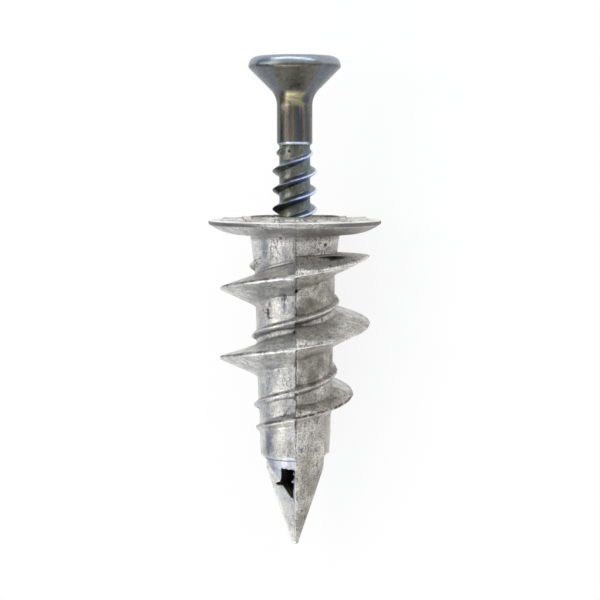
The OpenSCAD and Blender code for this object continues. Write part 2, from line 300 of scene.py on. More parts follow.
# blade thread and the low ridge above its second turn
blade_lead = 6.87
blade_r = 7.41
blade_land = 0.3
blade_upper = math.radians(17)
blade_lower = math.radians(24)
blade_round = 0.08
blade_fillet = 0.32
blade_top_fillet = 0.1
blade_front = 5.06
blade_top_l = 3.4
blade_full_l = 14
blade_taper = math.radians(28.5)
blade_bow = 0.28
blade_wear = 0.035
ridge_rise = 2.25
ridge_h = 0.5
ridge_w = 0.8
ridge_slope = 0.8
ridge_fillet = 0.12
ridge_turns_up = 0.85
ridge_turns_down = 1.42
ridge_fade_turns = 0.09
ridge_front = blade_front + blade_lead - ridge_rise

# spade tip, and how far the halves of the die are out of line at the seam
spade_w = 2.86
spade_corner_l = 24.6
spade_top_l = 19.2
tip_r = 0.38
plate_lap = 0.25
plate_draft = 0.35
plate_round = 0.06
plate_fillet = 0.1
side_cut_round = 0.08
tip_wall_l = 29
die_draft = 0.05
seam_step = 0.05

# bore, driving recess, and the window's torn edges as places across and down it
bore_r = 1.85
bore_l = 20.5
lower_bore_r = 1.38
bore_step = 0.8
bore_cone_l = 26
bore_point_l = 28.2
bore_slope = 0.8
bore_round = 0.05
driver_r = 3.1
driver_foot_r = 1.86
driver_w = 1.25
driver_l = 3.4
window_rise = 1.7
torn_top = [(0, 0.22), (0.12, 0.2), (0.3, 0.03), (0.5, 0.12), (0.68, -0.05), (0.82, 0.06), (1, -0.12)]
torn_side = [
    (0.1, 0.12), (0.35, 0.04), (0.6, 0.22), (0.85, 0.06), (1.15, 0.14), (1.5, 0.32), (1.8, 0.2), (2.3, 0.24)
]

# the screw's thread, which has cut its own groove in the bore
screw_out = 15.9
thread_start = 11.15
thread_start_turn = 0.25
thread_starts = 2
thread_r = 2.19
thread_lead = 3.7
thread_flank = math.radians(30)
tap_gap = 0.05
tapped_l = 18

# marks of the casting, each a spot and its half sizes: the hollow at the blade's upper end, blow
# holes in the skin and pits on the parting line, and the chip beside the window
blade_hollow = [((3.6, -3.9, -3.5), (1.35, 0.9, 0.10)), ((3.95, -3.9, -3.62), (0.65, 0.35, 0.13))]
blow_holes = [
    ((2.91, -3.25, -2.35), (0.13, 0.25, 0.13)),
    ((-2.62, -2.98, -8.15), (0.16, 0.3, 0.3)),
    ((-3.0, -2.55, -9.0), (0.2, 0.25, 0.14)),
    ((-1.0, -3.8, -7.35), (0.1, 0.2, 0.3)),
    ((0.03, -3.92, -6.7), (0.13, 0.3, 0.16)),
    ((0.03, -3.85, -10.75), (0.12, 0.35, 0.12)),
]
window_chip = ((-1.5, -0.35, -26.2), (0.34, 0.6, 0.13))
mark_round = 0.05

# a fine unevenness of the whole skin: how far it sinks, and its waves as heights and sizes
skin_sink = 0.022
skin_waves = [(0.02, 1.7), (0.008, 0.6)]

dice = np.random.default_rng(11)
crest_wear = dice.uniform(-1, 1, 240)
lattice = dice.uniform(-1, 1, (32, 32, 32)).astype(np.float32)


def soft_min(a, b, k):
    """The lower of two heights, with a fillet about k wide where they meet."""
    h = np.clip(0.5 + 0.5 * (b - a) / k, 0, 1)
    return b + (a - b) * h - k * h * (1 - h)


def soft_max(a, b, k):
    """The higher of two heights, with a fillet about k wide where they meet."""
    return -soft_min(-a, -b, k)


def waves(x, y, z, size):
    """Smooth random heights from -1 to 1, with humps about size across."""
    total = 0
    cell = [np.floor(c / size).astype(int) for c in (x, y, z)]
    part = [c / size - k for c, k in zip((x, y, z), cell)]
    part = [p * p * (3 - 2 * p) for p in part]
    for corner in range(8):
        bits = [corner & 1, corner >> 1 & 1, corner >> 2 & 1]
        weight = 1
        for p, bit in zip(part, bits):
            weight = weight * (p if bit else 1 - p)
        total = total + weight * lattice[tuple((k + bit) % 32 for k, bit in zip(cell, bits))]
    return total


def dent(x, y, z, spot, size):
    """A hollow with half sizes along x, y and z, negative outside it."""
    far = sum(((c - s) / h) ** 2 for c, s, h in zip((x, y, z), spot, size))
    return min(size) * (1 - np.sqrt(far))


def about_axis(x, y, z):
    """Depth below the flange's top, distance from the axis, and turns round it from the front."""
    return -z, np.sqrt(x * x + y * y), np.arctan2(x, -y) / (2 * math.pi)


def shank_form(x, y, z):
    """Core, ridge, blade and plates at points of the upright anchor, broadcast over x, y and z."""
    depth, r, turn = about_axis(x, y, z)

    # core, from the neck to the boss's point
    core_depths = [0, flange_t, neck_l, core_l - 0.05, core_l + 0.1,
                   boss_shoulder_l, boss_point_l, anchor_l]
    core_radii = [neck_r, neck_r, core_top_r, core_end_r, core_end_r - 0.1,
                  boss_r, 0, -boss_r]
    core_r = np.interp(depth, core_depths, core_radii)
    core = (r - core_r) * np.where(depth > boss_shoulder_l, boss_slope, core_slope)

    # at its sides the core ends squarer, more so behind on the right
    at_side = np.clip((core_side_w - np.abs(y)) / core_side_fade, 0, 1) * core_slope
    sloped = np.interp(depth, [core_l + 0.1, core_l + 0.65, boss_shoulder_l, spade_corner_l],
                       [0, 0.29, 0.17, 0])
    square = np.interp(depth, [core_l, core_l + 0.25, core_l + 0.4, boss_shoulder_l], [0, 0.32, 0.28, 0])
    core = core + at_side * np.where(y > 0, square, sloped)

    # low ridge above the blade's second turn
    turns_up = np.round((ridge_front - depth) / blade_lead - turn) + turn
    off = depth - ridge_front + blade_lead * turns_up
    to_end = np.minimum(ridge_turns_up - turns_up, turns_up + ridge_turns_down)
    fade = np.clip(to_end / ridge_fade_turns, 0, 1)
    hump = ridge_h * fade * (1 - (2 * off / ridge_w) ** 2)
    ridge = (r - core_r - hump) * ridge_slope
    core = np.where(np.abs(off) < ridge_w, soft_min(core, ridge, ridge_fillet), core)

    # blade: full to blade_full_l, then tapering and bowing towards the tip
    turns_up = np.round((blade_front - depth) / blade_lead - turn) + turn
    right_half = np.clip(x * np.where(y < 0, 1, -1) / 0.08 + 0.5, 0, 1)
    core = core - seam_step * right_half
    crest_l = blade_front - blade_lead * turns_up - 1.5 * seam_step * right_half
    taper = np.maximum(0, crest_l - blade_full_l) * math.tan(blade_taper)
    worn = np.interp(turns_up * 60, np.arange(-120, 120), crest_wear)
    crest_r = blade_r - taper + blade_wear * worn
    tapered = np.clip(taper / (blade_r - core_r), 0, 1)
    off = depth - crest_l - 4 * blade_bow * tapered * (1 - tapered)
    upper = (-off - blade_land / 2 - (crest_r - r) * math.tan(blade_upper)) * math.cos(blade_upper)
    lower = (off - blade_land / 2 - (crest_r - r) * math.tan(blade_lower)) * math.cos(blade_lower)
    blade = soft_max(soft_max(upper, lower, blade_round), r - crest_r, blade_round)
    blade = soft_max(blade, blade_top_l - depth, blade_top_fillet)
    full_root = np.clip((depth - blade_top_l) / 2, 0, 1)
    body = soft_min(core, blade, blade_top_fillet + (blade_fillet - blade_top_fillet) * full_root)

    # two spade plates, ground to one blunt point, each running past the middle plane, and flush
    # with the core on their own side
    slope = (spade_w - tip_r) / (anchor_l - tip_r - spade_corner_l)
    flush = r - core_end_r + np.maximum(0, depth - core_l + 0.25) * slope
    own_side = (x * y < 0) & (depth > core_l - 0.6)
    body = np.where(own_side, soft_max(body, flush, plate_fillet), body)
    width = spade_w - (depth - spade_corner_l) * slope
    cone = (r - np.minimum(width, core_end_r)) * math.cos(math.atan(slope))
    ball = np.sqrt(r * r + (depth - anchor_l + tip_r) ** 2) - tip_r
    cone = np.where(depth > anchor_l - tip_r, ball, cone)
    cone = np.maximum(cone, core_l - 0.5 - depth)
    for side in (1, -1):
        u, v = x * side, y * side
        lean = plate_draft * np.clip((tip_wall_l - depth) / 2, 0.15, 1)
        inner = -u - lean * (v + core_end_r) / (core_end_r + plate_lap)
        plate = soft_max(soft_max(u - spade_w, v - plate_lap, plate_round), inner, plate_round)
        body = soft_min(body, soft_max(cone, plate, side_cut_round), plate_fillet)

    # the core's side is cut away above each plate
    for side in (1, -1):
        cut = np.maximum(np.maximum(spade_w - x * side, y * side), spade_top_l - depth)
        body = soft_max(body, -cut, side_cut_round)
    return body


def die_fill(body, x):
    """What the two halves of the die fill in, because they draw apart along X: from the parting
    plane outwards nothing may lie behind metal further out, and each face has its draft."""
    filled = body.copy()
    for outwards in (1, -1):
        half = np.nonzero(x * outwards > -1e-9 if outwards > 0 else x < -1e-9)[0]
        inwards = half[::-1] if outwards > 0 else half
        lean = die_draft * np.abs(x[inwards])[:, None, None]
        filled[inwards] = np.minimum.accumulate(body[inwards] - lean, axis=0) + lean
    return filled


def flange_form(x, y, z):
    """The flange, with its curved underside, and the grip ribs on its top face."""
    depth, r, turn = about_axis(x, y, z)
    reach = np.clip((r - neck_r) / (flange_r - neck_r), 0, 1)
    under = flange_t - (flange_t - rim_t) * reach ** belly_power
    disc = soft_max(r - flange_r, -depth, flange_round)
    flange = soft_max(disc, (depth - under) * belly_slope, flange_round)

    spoke = 2 * math.pi / rib_count
    angle = 2 * math.pi * turn
    angle = angle - (np.round(angle / spoke - 0.5) + 0.5) * spoke
    rib_mid = flange_r - rib_edge - rib_l / 2
    along = np.abs(r * np.cos(angle) - rib_mid) - rib_l / 2
    across = np.abs(r * np.sin(angle)) - rib_w / 2
    height = np.maximum(z - rib_h, depth - rib_sunk)
    rib = soft_max(soft_max(along, across, flange_round), height, flange_round)
    return soft_min(flange, rib, rib_fillet)


def hollow_form(x, y, z):
    """Bore, driving recess and windows, negative where there is no metal."""
    depth, r, turn = about_axis(x, y, z)

    # bore, with the thread that the screw taps and the recess that a driver turns it by
    turns_down = (screw_out - thread_start - z) / thread_lead - (turn - thread_start_turn)
    starts_down = turns_down * thread_starts
    tapped = np.abs(starts_down - np.round(starts_down)) * thread_lead / thread_starts
    groove = thread_r + tap_gap - np.maximum(0, tapped - 0.1) / math.tan(thread_flank)
    groove = np.where(depth < tapped_l, np.maximum(groove, bore_r), bore_r)
    narrow = np.interp(depth, [bore_l, bore_l + bore_step, bore_cone_l, bore_point_l, anchor_l],
                       [bore_r, lower_bore_r, lower_bore_r, 0, -2])
    bore = (r - np.where(depth < bore_l, groove, narrow)) * bore_slope
    wing = driver_r + (driver_foot_r - driver_r) * depth / driver_l
    recess = np.maximum(np.maximum(r - wing, depth - driver_l),
                        np.minimum(np.abs(x), np.abs(y)) - driver_w / 2)
    bore = np.minimum(bore, recess)

    # window, torn where the casting is thinnest
    top = bore_cone_l - window_rise
    for side in (1, -1):
        u, v = x * side, y * side
        top_tear = np.interp(-u / lower_bore_r, *zip(*torn_top))
        side_tear = np.interp(depth - top, *zip(*torn_side))
        hole = np.maximum(np.maximum(top + top_tear - depth, depth - boss_point_l),
                          np.maximum(-u - lower_bore_r, u + side_tear * lower_bore_r))
        bore = np.minimum(bore, np.maximum(hole, v + plate_lap))
    return bore


def skin(field, low, step):
    """The corners and four-sided faces of the surface where a grid of field values is 0."""
    inside = field < 0
    count = np.zeros(tuple(n - 1 for n in field.shape), np.int8)
    corners = [(a, b, c) for a in (0, 1) for b in (0, 1) for c in (0, 1)]
    for a, b, c in corners:
        count += inside[a:a + count.shape[0], b:b + count.shape[1], c:c + count.shape[2]]
    cells = np.argwhere((count > 0) & (count < 8))
    number = np.full(count.shape, -1, np.int32)
    number[tuple(cells.T)] = np.arange(len(cells))

    # one point for each cell that the surface crosses, in the middle of its crossings
    total = np.zeros((len(cells), 3))
    crossings = np.zeros(len(cells))
    for axis in range(3):
        for start in corners:
            if start[axis]:
                continue
            end = tuple(s + (i == axis) for i, s in enumerate(start))
            f0 = field[tuple((cells + start).T)]
            f1 = field[tuple((cells + end).T)]
            crosses = (f0 < 0) != (f1 < 0)
            t = f0[crosses] / (f0[crosses] - f1[crosses])
            spot = np.tile(np.array(start, float), (len(t), 1))
            spot[:, axis] = t
            total[crosses] += spot
            crossings[crosses] += 1
    points = np.array(low) + step * (cells + total / crossings[:, None])

    # one face round each edge of the grid that the surface crosses
    faces = []
    for axis in range(3):
        b, c = (axis + 1) % 3, (axis + 2) % 3
        near = [slice(1, -1)] * 3
        far = [slice(1, -1)] * 3
        near[axis], far[axis] = slice(0, -1), slice(1, None)
        spot = np.argwhere(inside[tuple(near)] != inside[tuple(far)])
        spot[:, b] += 1
        spot[:, c] += 1
        ring = []
        for db, dc in ((-1, -1), (0, -1), (0, 0), (-1, 0)):
            cell = spot.copy()
            cell[:, b] += db
            cell[:, c] += dc
            ring.append(number[tuple(cell.T)])
        quads = np.stack(ring, 1)
        leaving = inside[tuple(spot.T)]
        quads[~leaving] = quads[~leaving][:, ::-1]
        faces.append(quads)
    return points, np.concatenate(faces)


def smooth(mesh):
    """Every face of a mesh shaded smooth."""
    mesh.polygons.foreach_set("use_smooth", np.ones(len(mesh.polygons), bool))


def solid(name, points, faces):
    """A piece from its points and the corners of its faces, in the upright frame."""
    mesh = bpy.data.meshes.new(name)
    mesh.vertices.add(len(points))
    mesh.vertices.foreach_set("co", points.astype(np.float32).ravel())
    mesh.loops.add(faces.size)
    mesh.loops.foreach_set("vertex_index", faces.astype(np.int32).ravel())
    mesh.polygons.add(len(faces))
    mesh.polygons.foreach_set("loop_start", np.arange(0, faces.size, faces.shape[1], dtype=np.int32))
    smooth(mesh)
    mesh.update(calc_edges=True)
    mesh.validate()
    return placed(name, mesh)


def apply_modifiers(made):
    """The piece's own mesh becomes what its modifiers make of it."""
    bpy.context.view_layer.update()
    result = made.evaluated_get(bpy.context.evaluated_depsgraph_get())
    mesh = bpy.data.meshes.new_from_object(result)
    made.modifiers.clear()
    made.data = mesh
    smooth(mesh)
    return mesh


def keep_upright(mesh):
    """Keeps the points of an upright mesh as an attribute for its material, and returns them."""
    spots = np.empty(len(mesh.vertices) * 3, np.float32)
    mesh.vertices.foreach_get("co", spots)
    mesh.attributes.new("upright", "FLOAT_VECTOR", "POINT").data.foreach_set("vector", spots)
    return spots.reshape(-1, 3).astype(float)


# the field is worked out in slabs of a few layers, over a box that holds the anchor
cast_step = 0.1
cast_faces = 190000
slab_layers = 16
low = (-8.8, -8.8, -32.8)
high = (8.8, 8.8, 0.5)
grid_x, grid_y, grid_z = (np.arange(a, b, cast_step) for a, b in zip(low, high))
field = np.empty((len(grid_x), len(grid_y), len(grid_z)), np.float32)
for start in range(0, len(grid_z), slab_layers):
    slab = grid_z[start:start + slab_layers]
    x, y, z = np.meshgrid(grid_x, grid_y, slab, indexing="ij", sparse=True)
    value = die_fill(shank_form(x, y, z), grid_x)
    for spot, size in [*blade_hollow, *blow_holes, window_chip]:
        if slab[0] - 1 < spot[2] < slab[-1] + 1:
            value = soft_max(value, dent(x, y, z, spot, size), mark_round)
    value = soft_min(value, flange_form(x, y, z), flange_fillet)
    value = soft_max(value, -hollow_form(x, y, z), bore_round)
    at_skin = np.abs(value) < 3 * cast_step
    i, j, k = np.nonzero(at_skin)
    sunk = skin_sink
    for wave_h, wave_size in skin_waves:
        sunk = sunk + wave_h * waves(grid_x[i], grid_y[j], slab[k], wave_size)
    value[at_skin] += sunk
    field[:, :, start:start + slab_layers] = value
points, faces = skin(field, low, cast_step)
anchor = solid("anchor_casting", points, faces)
anchor.modifiers.new("fewer", "DECIMATE").ratio = min(1, cast_faces / (2 * len(faces)))
mesh = apply_modifiers(anchor)

# where the metal's painted light and shade go: creases, painted shade in the bore, a painted bright
# reflection on the face under the boss, and painted shade in the roots and in the blow holes
boss_face_top_l = 23.3
boss_face_end_l = 28.5
boss_face_half_w = 2.85
boss_face_taper = 0.464
hollow_reach = (1.9, 1.6, 0.6)
spots = keep_upright(mesh)
normals = np.empty(spots.size, np.float32)
mesh.vertex_normals.foreach_get("vector", normals)
normals = normals.reshape(-1, 3).astype(float)
down = -spots[:, 2]


def field_at(spots):
    """The field's value between the grid's points."""
    at = np.clip((spots - np.array(low)) / cast_step, 0, np.array(field.shape) - 1.001)
    cell = at.astype(int)
    part = at - cell
    total = 0
    for corner in range(8):
        bits = np.array([corner & 1, corner >> 1 & 1, corner >> 2 & 1])
        weight = np.prod(np.where(bits, part, 1 - part), axis=1)
        total = total + weight * field[tuple((cell + bits).T)]
    return total


def from_mark(spots, spot, size):
    """How far points lie from the middle of a mark, 1 at its edge."""
    return np.sqrt((((spots - spot) / size) ** 2).sum(1))


crease = np.zeros(len(spots))
for reach in (0.25, 0.5, 0.8):
    crease += np.clip(1 - field_at(spots + normals * reach) / reach, 0, 1) / 3

# painted shade in the bore, and in the chip beside the window
bore_depths = [0, bore_l, bore_l + bore_step, bore_cone_l, bore_point_l]
bore_radii = [thread_r, thread_r, lower_bore_r, lower_bore_r, 0]
from_bore = np.hypot(spots[:, 0], spots[:, 1]) - np.interp(down, bore_depths, bore_radii)
bore_shade = np.clip(1.2 - from_bore / 0.15, 0, 1) * np.clip(down / 2, 0, 1)
bore_shade[down > bore_point_l] = 0
bore_shade = np.maximum(bore_shade, np.clip((1.15 - from_mark(spots, *window_chip)) / 0.3, 0, 1))

# the face under the boss, where a bright reflection is painted
in_front = np.where(spots[:, 1] > 0, -1, 1)
boss_reflection = np.clip((down - core_l) / 0.1, 0, 1) * np.clip((-plate_lap - spots[:, 1] * in_front) / 0.1, 0, 1)
boss_reflection *= np.clip(0.5 - spots[:, 0] * in_front / 0.06, 0, 1)
boss_reflection *= np.clip((boss_face_end_l - down) / 0.5, 0, 1)
boss_face_w = boss_face_half_w - (down - boss_face_top_l) * boss_face_taper
boss_reflection *= np.clip(1 + (boss_face_w - np.abs(spots[:, 0])) / 0.15, 0, 1)

# painted shade in the roots, in the blow holes and in the chip beside the window
nook_shade = np.clip(1.15 - field_at(spots + normals * 0.2) / 0.2 * 1.25, 0, 1) * (down > 1.7)
for mark in [*blow_holes, window_chip]:
    nook_shade = np.maximum(nook_shade, np.clip(1.6 - from_mark(spots, *mark), 0, 1))
in_hollow = from_mark(spots, blade_hollow[0][0], hollow_reach) < 1
nook_shade[in_hollow] *= 0.15
crease[in_hollow] *= 0.45

for name, value in (("crease", crease), ("bore_shade", bore_shade), ("boss_reflection", boss_reflection), ("nook_shade", nook_shade)):
    mesh.attributes.new(name, "FLOAT", "POINT").data.foreach_set("value", value.astype(np.float32))
mesh.transform(lay_down)


def noise(place, size, detail=4.0, rough=0.55, stretch=(1, 1, 1), shift=0.0, scale=None):
    """Random values over the surface, with patches about size mm across, or of a scale that a
    socket gives."""
    tree = place.id_data
    moved = node(tree, "ShaderNodeMapping", {"Vector": place}, Scale=stretch, Location=(shift, shift, shift))
    made = node(tree, "ShaderNodeTexNoise", {"Vector": moved.outputs[0]},
                Scale=1 / size, Detail=detail, Roughness=rough)
    if scale:
        tree.links.new(scale, made.inputs["Scale"])
    return made.outputs["Fac"]


def times(*shares):
    """The product of several values."""
    total = shares[0]
    for share in shares[1:]:
        total = sums("MULTIPLY", total, share)
    return total


def line_at(value, middle, half_width, soft=0.05):
    """1 within half_width of the middle, fading to 0 over soft."""
    away = sums("ABSOLUTE", sums("SUBTRACT", value, middle))
    return ramp(away, half_width + soft, half_width)


def laid(colour, *coats):
    """A colour under its coats, each a mask, the mask's strength and the coat's colour."""
    for mask, strength, over in coats:
        colour = tint(mask if strength == 1 else times(mask, strength), colour, over)
    return colour


def layer(tree, name, output="Fac"):
    """A value that the mesh holds for each of its points."""
    return node(tree, "ShaderNodeAttribute", attribute_name=name).outputs[output]


def finish(piece, metal, bump_strength, bump_height, **inputs):
    """Closes a metal, with a bump as high as given in m and the rest of its inputs, and puts it on
    its piece."""
    tree = metal.node_tree
    bump = node(tree, "ShaderNodeBump", {"Height": inputs.pop("height")},
                Strength=bump_strength, Distance=bump_height)
    shader = node(tree, "ShaderNodeBsdfPrincipled", {"Normal": bump.outputs[0]})
    for name, source in inputs.items():
        tree.links.new(source, shader.inputs[name.replace("_", " ").title()])
    node(tree, "ShaderNodeOutputMaterial", {"Surface": shader.outputs[0]})
    piece.data.materials.clear()
    piece.data.materials.append(metal)


def effect(name, inputs, outputs):
    """A node group with its sockets, its given values by name, and its results' sockets."""
    made = bpy.data.node_groups.new(name, "ShaderNodeTree")
    for way, sockets in (("INPUT", inputs), ("OUTPUT", outputs)):
        for socket, kind in sockets.items():
            made.interface.new_socket(socket, in_out=way, socket_type="NodeSocket" + kind)
    return made, node(made, "NodeGroupInput").outputs, node(made, "NodeGroupOutput").inputs


def put(group, place, **values):
    """A node group in a material, at a place on the surface and with its own values."""
    return node(place.id_data, "ShaderNodeGroup", {"Position": place}, node_tree=group, **values).outputs


# Mottle, for both metals: broad patches, clouds, a fine grain, and specks that gather where the
# patches are low, each of a size in mm
mottle, given, result = effect(
    "mottle",
    {"Position": "Vector", "Patch Size": "Float", "Cloud Size": "Float",
     "Grain Size": "Float", "Speck Size": "Float"},
    {"Patches": "Float", "Clouds": "Float", "Grain": "Float", "Specks": "Float"},
)
mottles = {}
for name, detail, rough, stretch, shift in (
        ("Patch", 5.0, 0.6, (1, 1, 1), 0.0), ("Cloud", 6.0, 0.68, (1, 1, 0.6), 7.0),
        ("Grain", 3.0, 0.7, (1, 1, 1), 3.0), ("Speck", 5.0, 0.7, (1, 1, 0.5), 11.0)):
    scale = sums("DIVIDE", 1.0, given[name + " Size"])
    mottles[name] = noise(given["Position"], 1.0, detail, rough, stretch, shift, scale)
in_drifts = times(ramp(mottles["Speck"], 0.54, 0.64), ramp(mottles["Patch"], 0.52, 0.40))
feed(result, (mottles["Patch"], mottles["Cloud"], mottles["Grain"], in_drifts))

# Helix, for both metals: how far a point lies below the nearest turn of a thread, how many turns
# up it is, and how far from the axis
helix, given, result = effect(
    "helix",
    {"Position": "Vector", "Start": "Float", "Lead": "Float", "Starts": "Float"},
    {"Off": "Float", "Turns": "Float", "Radius": "Float"},
)
x, y, z = node(helix, "ShaderNodeSeparateXYZ", {"Vector": given["Position"]}).outputs
angle = sums("DIVIDE", sums("ARCTAN2", x, times(y, -1.0)), 2 * math.pi)
below_start = sums("ADD", given["Start"], z)
turns = sums("SUBTRACT", sums("DIVIDE", below_start, given["Lead"]), angle)
turns = sums("ROUND", times(turns, given["Starts"]))
turns = sums("ADD", sums("DIVIDE", turns, given["Starts"]), angle)
off = sums("SUBTRACT", times(given["Lead"], turns), below_start)
squares = sums("ADD", sums("POWER", x, 2.0), sums("POWER", y, 2.0))
feed(result, (off, turns, sums("SQRT", squares)))

# Ragged, for both metals: a place moved about at random, so that a mark's edge there is torn
ragged, given, result = effect("ragged", {"Position": "Vector", "Size": "Float"}, {"Position": "Vector"})
scale = sums("DIVIDE", 1.0, given["Size"])
torn = node(ragged, "ShaderNodeTexNoise", {"Vector": given["Position"], "Scale": scale},
            Detail=4.0, Roughness=0.7)
middled = node(ragged, "ShaderNodeVectorMath", {0: torn.outputs["Color"]}, operation="SUBTRACT")
middled.inputs[1].default_value = (0.5, 0.5, 0.5)
moved = node(ragged, "ShaderNodeVectorMath", {0: middled.outputs[0]}, operation="SCALE")
ragged.links.new(times(given["Size"], 1.6), moved.inputs["Scale"])
moved = node(ragged, "ShaderNodeVectorMath", {0: given["Position"], 1: moved.outputs[0]}, operation="ADD")
feed(result, (moved.outputs[0],))

# Blot, for both metals: a single mark at its spot, with its half sizes and its strength
blot, given, result = effect(
    "blot",
    {"Position": "Vector", "Spot": "Vector", "Half Sizes": "Vector", "Strength": "Float"},
    {"Mark": "Float"},
)
away = node(blot, "ShaderNodeVectorMath", {0: given["Position"], 1: given["Spot"]}, operation="SUBTRACT")
away = node(blot, "ShaderNodeVectorMath", {0: away.outputs[0], 1: given["Half Sizes"]}, operation="DIVIDE")
away = node(blot, "ShaderNodeVectorMath", {0: away.outputs[0]}, operation="LENGTH").outputs["Value"]
feed(result, (times(ramp(away, 1.25, 0.6), given["Strength"]),))


def blots(place, colour, marks, size):
    """Marks with edges torn over about size mm, laid on a colour; each has its spot, its half sizes,
    its strength and its tint."""
    torn_place = put(ragged, place, Size=size)["Position"]
    for spot, half_sizes, strength, over in marks:
        mark = put(blot, torn_place, Spot=spot, Half_Sizes=half_sizes, Strength=strength)["Mark"]
        colour = tint(mark, colour, over)
    return colour


zinc, tree = material("zinc_casting")
place = layer(tree, "upright", "Vector")
x, y, z = node(tree, "ShaderNodeSeparateXYZ", {"Vector": place}).outputs
depth = times(z, -1.0)
aside = sums("ABSOLUTE", x)
mottling = put(mottle, place, Patch_Size=2.6, Cloud_Size=1.3, Grain_Size=0.13, Speck_Size=0.24)
patches, clouds, grain, specks = mottling
on_blade_helix = put(helix, place, Start=blade_front, Lead=blade_lead, Starts=1)
on_ridge_helix = put(helix, place, Start=ridge_front, Lead=blade_lead, Starts=1)
radius = on_blade_helix["Radius"]
below_ridge = on_ridge_helix["Off"]

# the two halves of the die: a little cooler and smoother on the left, warmer and duller on the
# right, with a grey film between the blade's turns there
to_right = times(x, ramp(sums("LESS_THAN", y, 0.0), 0, 1, -1.0, 1.0))
wander = ramp(noise(place, 1.6, 5.0, 0.7), 0.3, 0.7, -0.06, 0.06)
from_seam = sums("SUBTRACT", to_right, wander)
right_half = ramp(from_seam, -0.05, 0.05)
valley = times(ramp(below_ridge, 0.25, 0.5), ramp(below_ridge, 1.9, 1.4), right_half)
film = times(ramp(radius, 5.6, 4.0), ramp(depth, 4.5, 7.0), ramp(depth, 20.5, 17.5),
             ramp(noise(place, 2.0, 4.0, 0.6, shift=61.0), 0.40, 0.56, 0.15, 1.0),
             ramp(valley, 0, 1, 1.0, 0.3))
plates = ramp(depth, core_l - 0.4, core_l + 0.6)
cool = tint(ramp(clouds, 0.40, 0.58), (0.50, 0.51, 0.53), (0.85, 0.845, 0.82))
cool = laid(cool, (plates, 0.85, (0.97, 0.97, 0.94)))
clouded = ramp(clouds, 0.42, 0.58)
warm = tint(clouded, (0.64, 0.615, 0.57), (0.98, 0.965, 0.92))
warm = laid(
    warm,
    (ramp(depth, 5.5, 8.5, 0, 0.22), 1, (0.42, 0.40, 0.36)),
    (film, 0.92, tint(clouded, (0.22, 0.205, 0.18), (0.42, 0.40, 0.36))),
    (plates, 0.72, tint(clouded, (0.34, 0.32, 0.285), (0.60, 0.58, 0.54))),
)
skin_colour = tint(right_half, cool, warm)

# dull patches; a paler neck; painted light on the upper end of the blade, where the flange keeps light off;
# shade under the flange, more on the right
neck = times(ramp(depth, 1.3, 1.8), ramp(depth, 5.0, 3.6), ramp(radius, 4.6, 4.3))
blade_end_painted_light = times(ramp(depth, 3.1, 3.4), ramp(depth, 5.2, 4.6), right_half, ramp(radius, 4.3, 4.7))
under_flange = times(ramp(depth, 0.45, 0.6), ramp(depth, 1.7, 1.5),
                     ramp(radius, 4.5, 5.0), ramp(to_right, -1.5, 1.5, 0.1, 0.75))
skin_colour = laid(
    skin_colour,
    (ramp(patches, 0.50, 0.66, 0, 0.4), 1, (0.50, 0.48, 0.45)),
    (neck, 0.45, (0.98, 0.965, 0.93)),
    (blade_end_painted_light, 0.75, (0.97, 0.955, 0.91)),
    (under_flange, 1, (0.28, 0.28, 0.275)),
)

# fine dark grain all over, stronger on the right; bluish marks that the die left, drawn out along
# the axis; blacker specks in drifts; a little rust
calm = ramp(times(plates, ramp(right_half, 0, 1, 1, 0)), 0, 1, 1.0, 0.45)
grained = times(ramp(grain, 0.53, 0.40), ramp(right_half, 0, 1, 0.5, 0.75), calm)
coarse = times(ramp(noise(place, 0.2, 3.0, 0.75, shift=71.0), 0.53, 0.66),
               ramp(right_half, 0, 1, 0.35, 0.6), calm, ramp(clouds, 0.42, 0.58, 1.0, 0.35))
die_marks = times(ramp(noise(place, 0.45, 5.0, 0.7, (1, 1, 0.35), 41.0), 0.55, 0.63),
                  ramp(noise(place, 2.2, 2.0, shift=51.0), 0.44, 0.56))
rust = times(ramp(noise(place, 0.3, 2.0, 0.5, shift=101.0), 0.66, 0.69), ramp(patches, 0.45, 0.55))
skin_colour = laid(
    skin_colour,
    (grained, 1, (0.17, 0.16, 0.145)),
    (coarse, 1, (0.20, 0.19, 0.17)),
    (times(die_marks, calm), 0.85, (0.15, 0.155, 0.20)),
    (times(specks, calm), 0.9, (0.06, 0.055, 0.05)),
    (rust, 0.6, (0.33, 0.22, 0.13)),
)

# the flange's top face, pale, with brown flecks and bright scuffs, and a painted highlight along its edge
top_face = times(ramp(depth, 0.14, 0.06), ramp(depth, -0.3, -0.2))
flecks = noise(place, 0.34, 2.0, 0.5, shift=81.0)
gathered = ramp(noise(place, 2.4, 3.0, shift=111.0), 0.42, 0.53)
top_edge_highlight = times(ramp(radius, flange_r - 0.35, flange_r - 0.2), ramp(depth, 0.14, 0.08))
skin_colour = laid(
    skin_colour,
    (top_face, 0.8, (0.90, 0.88, 0.83)),
    (times(top_face, gathered, ramp(flecks, 0.55, 0.59)), 0.85, (0.20, 0.14, 0.075)),
    (times(top_face, ramp(flecks, 0.42, 0.38)), 0.5, (0.90, 0.89, 0.86)),
    (top_edge_highlight, 0.8, (0.97, 0.96, 0.94)),
)
